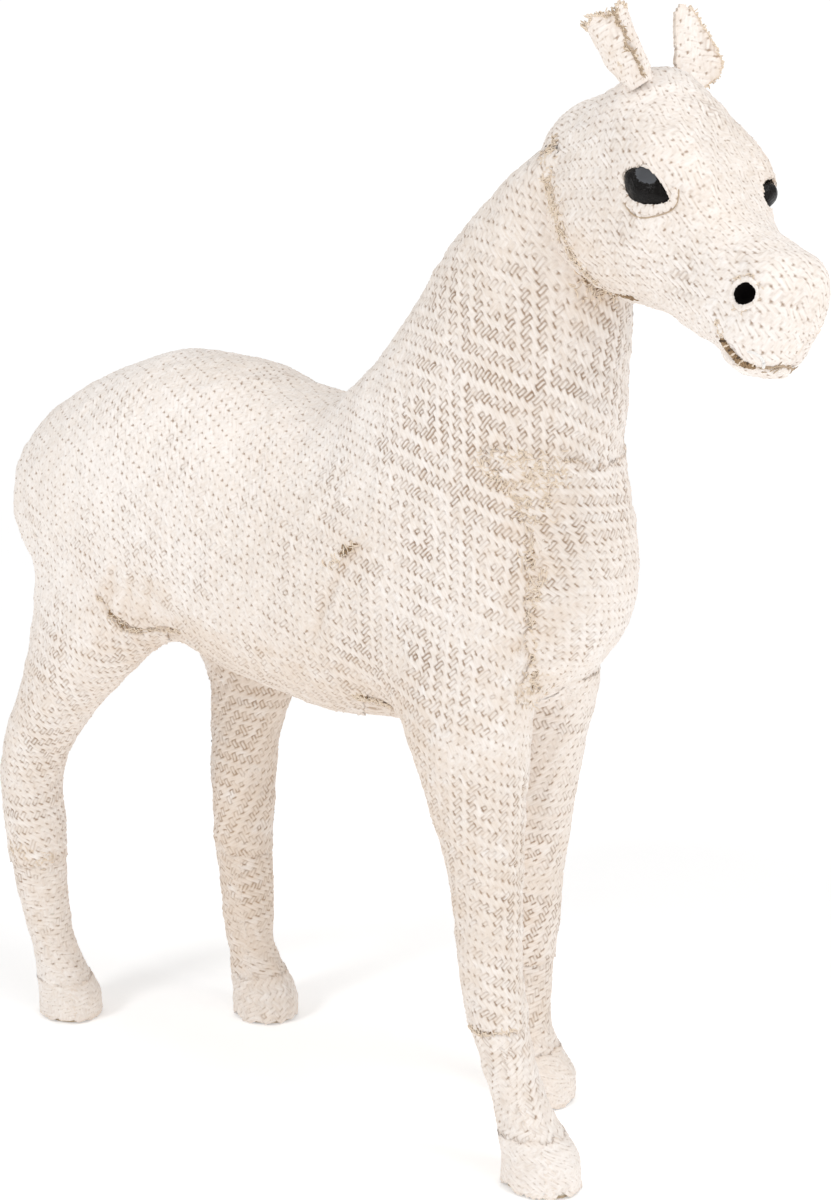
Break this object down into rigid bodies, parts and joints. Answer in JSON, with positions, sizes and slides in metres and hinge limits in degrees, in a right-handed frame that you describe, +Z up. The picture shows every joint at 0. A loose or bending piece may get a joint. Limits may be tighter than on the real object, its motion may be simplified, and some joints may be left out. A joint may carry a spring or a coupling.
{
  "type": "horse figure",
  "caption": "Standing cloth-covered horse figure on a wire armature, with turned head, staggered legs and cloth ears that can be bent",
  "frame": {"origin": "centre of the figure's box on the plane that its hooves stand on", "axes": "+X ahead, to the head; +Y to the horse's left; +Z up"},
  "size_m": [0.5225, 0.1343, 0.6072],
  "materials": {
    "woven_cloth": "matte diamond-twill weave",
    "papier_mache": "matte",
    "steel_wire": "drawn",
    "paper_tape": "matte",
    "card": "matte",
    "eye_black": "polished",
    "nostril_black": "matte",
    "brown_twine": "twisted"
  },
  "bodies": {
    "figure": {"spine_wire": "steel_wire", "front_leg_wire": "steel_wire", "hind_leg_wire": "steel_wire", "front_binding": "paper_tape", "hind_binding": "paper_tape", "torso_shell_right": "papier_mache", "torso_shell_left": "papier_mache", "neck_shell_right": "papier_mache", "neck_shell_left": "papier_mache", "head_shell_right": "papier_mache", "head_shell_left": "papier_mache", "leg_core_rf": "papier_mache", "leg_core_lf": "papier_mache", "leg_core_rh": "papier_mache", "leg_core_lh": "papier_mache", "hoof_block_rf": "papier_mache", "hoof_block_lf": "papier_mache", "hoof_block_rh": "papier_mache", "hoof_block_lh": "papier_mache", "sole_rf": "card", "sole_lf": "card", "sole_rh": "card", "sole_lh": "card", "torso_cover_right": "woven_cloth", "torso_cover_left": "woven_cloth", "chest_cover": "woven_cloth", "neck_cover": "woven_cloth", "head_cover": "woven_cloth", "lower_lip": "woven_cloth", "mouth_braid": "brown_twine", "upper_leg_cover_rf": "woven_cloth", "upper_leg_cover_lf": "woven_cloth", "upper_leg_cover_rh": "woven_cloth", "upper_leg_cover_lh": "woven_cloth", "lower_leg_cover_rf": "woven_cloth", "lower_leg_cover_lf": "woven_cloth", "lower_leg_cover_rh": "woven_cloth", "lower_leg_cover_lh": "woven_cloth", "hoof_cover_rf": "woven_cloth", "hoof_cover_lf": "woven_cloth", "hoof_cover_rh": "woven_cloth", "hoof_cover_lh": "woven_cloth", "eye_right": "eye_black", "eye_left": "eye_black", "nostril_right": "nostril_black", "nostril_left": "nostril_black"},
    "right_ear": {"ear_right": "woven_cloth", "ear_wire_right": "steel_wire"},
    "left_ear": {"ear_left": "woven_cloth", "ear_wire_left": "steel_wire"}
  },
  "joints": [
    {"name": "right_ear_bend", "type": "hinge", "parent": "figure", "child": "right_ear", "pos_m": [0.14915, -0.02264, 0.56683], "axis": [0.3125, 0.9397, -0.1391], "range_deg": [-10, 40]},
    {"name": "left_ear_bend", "type": "hinge", "parent": "figure", "child": "left_ear", "pos_m": [0.15587, 0.01512, 0.56384], "axis": [0.3125, 0.9397, -0.1391], "range_deg": [-20, 25]}
  ]
}
